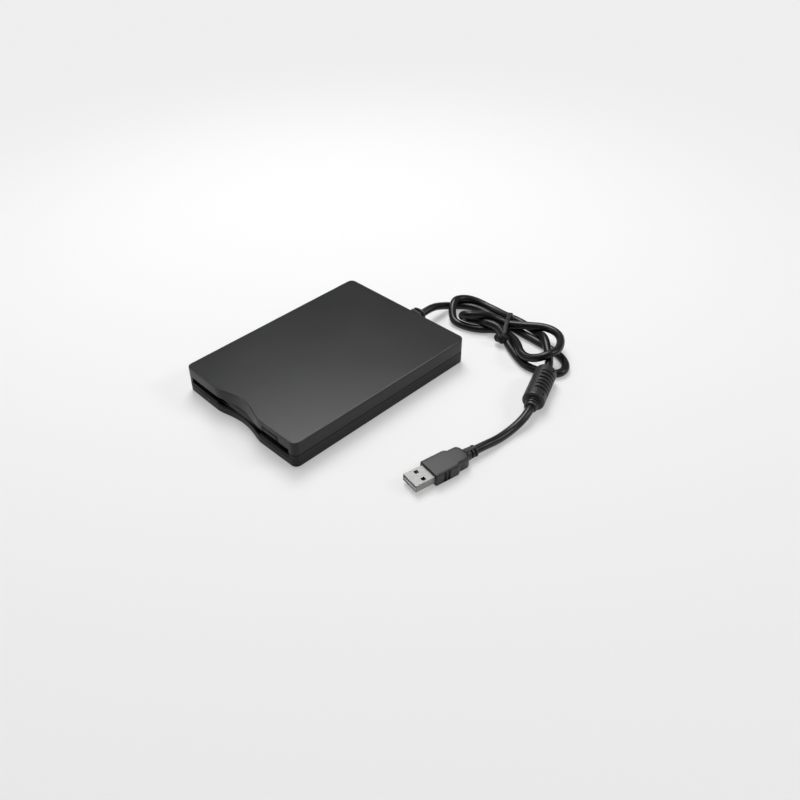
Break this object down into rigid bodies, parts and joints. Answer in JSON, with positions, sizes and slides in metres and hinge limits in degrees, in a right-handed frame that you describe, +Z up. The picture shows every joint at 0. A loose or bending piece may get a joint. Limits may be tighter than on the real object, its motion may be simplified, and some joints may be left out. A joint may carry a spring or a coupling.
{
  "type": "external floppy disk drive",
  "caption": "Slim black external USB floppy disk drive with a front disk slot, sprung flap, eject button, finger scoop and a tied attached cord ending in a USB plug.",
  "frame": {"origin": "on the table, under the middle of the case", "axes": "+Z up, -Y towards the person in front of the disk slot, +X to that person's right"},
  "size_m": [0.172, 0.2019, 0.0185],
  "materials": {
    "lid_plastic": "satin",
    "case_plastic": "matte",
    "button_plastic": "satin",
    "steel_sheet": "satin",
    "spring_steel": "satin",
    "bearing_bronze": "satin",
    "circuit_board": "satin",
    "coil_copper": "satin",
    "rotor_steel": "satin",
    "carriage_plastic": "matte",
    "rod_steel": "polished",
    "chip_plastic": "matte",
    "ribbon_plastic": "satin",
    "led_lens": "gloss",
    "foot_rubber": "matte",
    "screw_steel": "satin",
    "cord_moulding": "satin",
    "cord_jacket": "satin",
    "ferrite": "matte",
    "plug_metal": "satin",
    "plug_plastic": "satin",
    "contact_gold": "polished",
    "tie_plastic": "satin"
  },
  "bodies": {
    "case": {"top_shell": "lid_plastic", "bottom_shell": "case_plastic", "front_frame": "case_plastic", "flap_spring": "spring_steel", "drive_chassis": "steel_sheet", "drive_cover": "steel_sheet", "spindle_bearing": "bearing_bronze", "spindle_board": "circuit_board", "spindle_stator": "coil_copper", "guide_rod": "rod_steel", "stepper_motor": "rotor_steel", "drive_board": "circuit_board", "drive_board_parts": "chip_plastic", "usb_board": "circuit_board", "usb_board_parts": "chip_plastic", "ribbon_cable": "ribbon_plastic", "slide_springs": "spring_steel", "led_window": "led_lens", "status_led": "led_lens", "rubber_feet": "foot_rubber", "case_screws": "screw_steel", "chassis_screws": "screw_steel", "strain_relief": "cord_moulding", "cord_lead": "cord_jacket", "cord_hank": "cord_jacket", "cord_link": "cord_jacket", "cord_tail": "cord_jacket", "ferrite_cover": "cord_moulding", "ferrite_core": "ferrite", "plug_body": "cord_moulding", "plug_shell": "plug_metal", "plug_insulator": "plug_plastic", "plug_contacts": "contact_gold", "twist_tie": "tie_plastic"},
    "slot_flap": {"slot_flap": "case_plastic"},
    "eject_slide": {"eject_button": "button_plastic", "slide_plate": "steel_sheet"},
    "disk_holder": {"disk_holder": "steel_sheet"},
    "shutter_lever": {"shutter_lever": "steel_sheet"},
    "spindle_rotor": {"spindle_rotor": "rotor_steel"},
    "head_carriage": {"head_carriage": "carriage_plastic"},
    "upper_head_arm": {"upper_head_arm": "carriage_plastic"},
    "lead_screw": {"lead_screw": "rod_steel"}
  },
  "joints": [
    {"name": "flap_hinge", "type": "hinge", "parent": "case", "child": "slot_flap", "pos_m": [0, -0.0651, 0.0142], "axis": [1, 0, 0], "range_deg": [0, 110], "stiffness_Nm_per_rad": 0.00005, "springref_deg": -57.3},
    {"name": "eject_slide", "type": "slide", "parent": "case", "child": "eject_slide", "axis": [0, -1, 0], "range_m": [0, 0.005]},
    {"name": "holder_drop", "type": "slide", "parent": "case", "child": "disk_holder", "axis": [0, 0, -1], "range_m": [0, 0.002]},
    {"name": "shutter_lever_hinge", "type": "hinge", "parent": "disk_holder", "child": "shutter_lever", "pos_m": [0.038, 0.016, 0.0129], "axis": [0, 0, -1], "range_deg": [0, 29], "stiffness_Nm_per_rad": 0.0002, "springref_deg": -11.46},
    {"name": "spindle_turn", "type": "hinge", "parent": "case", "child": "spindle_rotor", "pos_m": [0, -0.02, 0.005], "axis": [0, 0, 1], "continuous": true},
    {"name": "head_travel", "type": "slide", "parent": "case", "child": "head_carriage", "axis": [0, -1, 0], "range_m": [0, 0.015]},
    {"name": "head_lift", "type": "hinge", "parent": "head_carriage", "child": "upper_head_arm", "pos_m": [0, 0.0465, 0.0138], "axis": [1, 0, 0], "range_deg": [0, 5]},
    {"name": "lead_screw_turn", "type": "hinge", "parent": "case", "child": "lead_screw", "pos_m": [0.023, 0.04, 0.008], "axis": [0, 1, 0], "continuous": true}
  ],
  "couplings": [
    {"joint": "holder_drop", "follows": "eject_slide", "ratio": 0.4},
    {"joint": "head_lift", "follows": "eject_slide", "rad_per_m": 17.453},
    {"joint": "lead_screw_turn", "follows": "head_travel", "rad_per_m": 1675.5}
  ]
}
